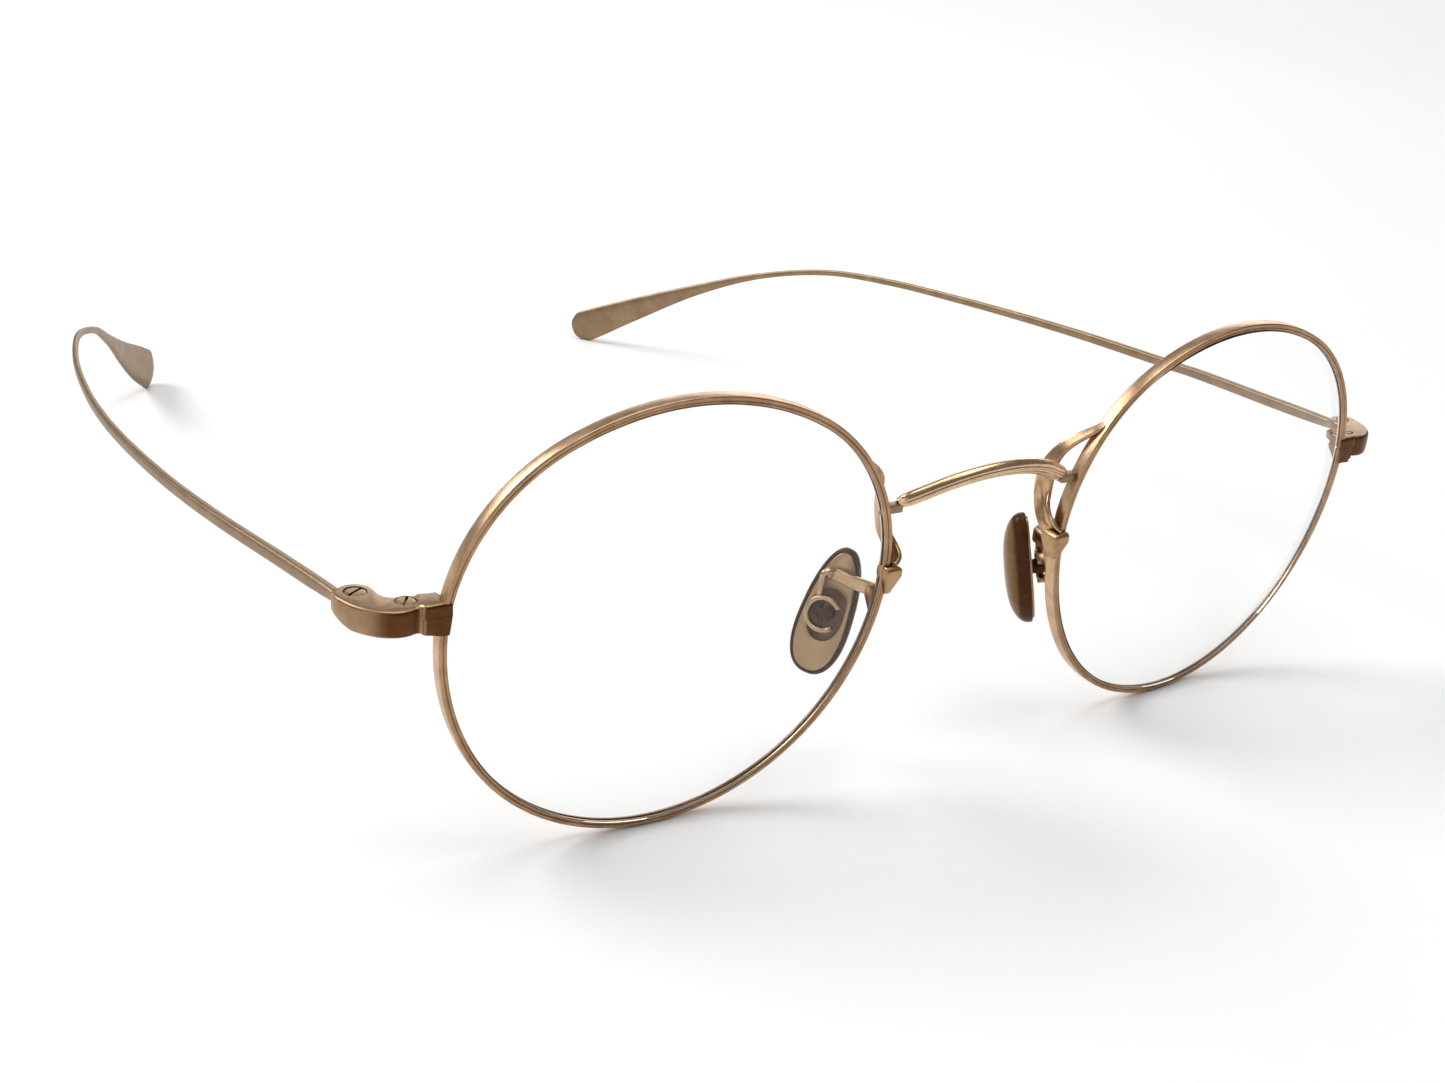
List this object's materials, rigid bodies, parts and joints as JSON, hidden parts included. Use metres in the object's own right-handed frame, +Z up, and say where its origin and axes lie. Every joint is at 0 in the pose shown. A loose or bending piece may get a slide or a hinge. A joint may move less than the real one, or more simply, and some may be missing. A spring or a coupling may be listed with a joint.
{
  "type": "eyeglasses",
  "caption": "Oval wire-rim eyeglasses with arched bridge, nose bows, pivoting pads and folding slim temples",
  "frame": {"origin": "centre of the bounding box in X and Y, on the table plane that the rims and the temple tips rest on", "axes": "+X to the wearer's left, +Y from the lenses back along the open temples, +Z up"},
  "size_m": [0.1382, 0.1461, 0.0461],
  "materials": {
    "metal": "satin antique gold",
    "lens": "clear polished",
    "pad": "translucent dark brown"
  },
  "bodies": {
    "front": {"right_rim": "metal", "left_rim": "metal", "right_lens": "lens", "left_lens": "lens", "bridge": "metal", "right_bow": "metal", "left_bow": "metal", "right_pad_arm": "metal", "left_pad_arm": "metal", "right_pad_pin": "metal", "left_pad_pin": "metal", "right_end_piece": "metal", "left_end_piece": "metal", "right_lock_block": "metal", "left_lock_block": "metal", "right_lock_screw": "metal", "left_lock_screw": "metal", "right_hinge_screw": "metal", "left_hinge_screw": "metal"},
    "left_temple_arm": {"left_temple": "metal"},
    "right_temple_arm": {"right_temple": "metal"},
    "left_nose_pad": {"left_pad": "pad", "left_pad_plate": "metal"},
    "right_nose_pad": {"right_pad": "pad", "right_pad_plate": "metal"}
  },
  "joints": [
    {"name": "left_temple_fold", "type": "hinge", "parent": "front", "child": "left_temple_arm", "pos_m": [0.066, -0.06168, 0.02727], "axis": [0, 0, 1], "range_deg": [0, 81]},
    {"name": "right_temple_fold", "type": "hinge", "parent": "front", "child": "right_temple_arm", "pos_m": [-0.066, -0.06168, 0.02727], "axis": [0, 0, -1], "range_deg": [0, 78]},
    {"name": "left_pad_rock", "type": "hinge", "parent": "front", "child": "left_nose_pad", "pos_m": [0.01533, -0.06453, 0.01845], "axis": [-0.2745, -0.0152, 0.9615], "range_deg": [-6, 6]},
    {"name": "right_pad_rock", "type": "hinge", "parent": "front", "child": "right_nose_pad", "pos_m": [-0.01533, -0.06453, 0.01845], "axis": [0.2745, -0.0152, 0.9615], "range_deg": [-6, 6]}
  ]
}
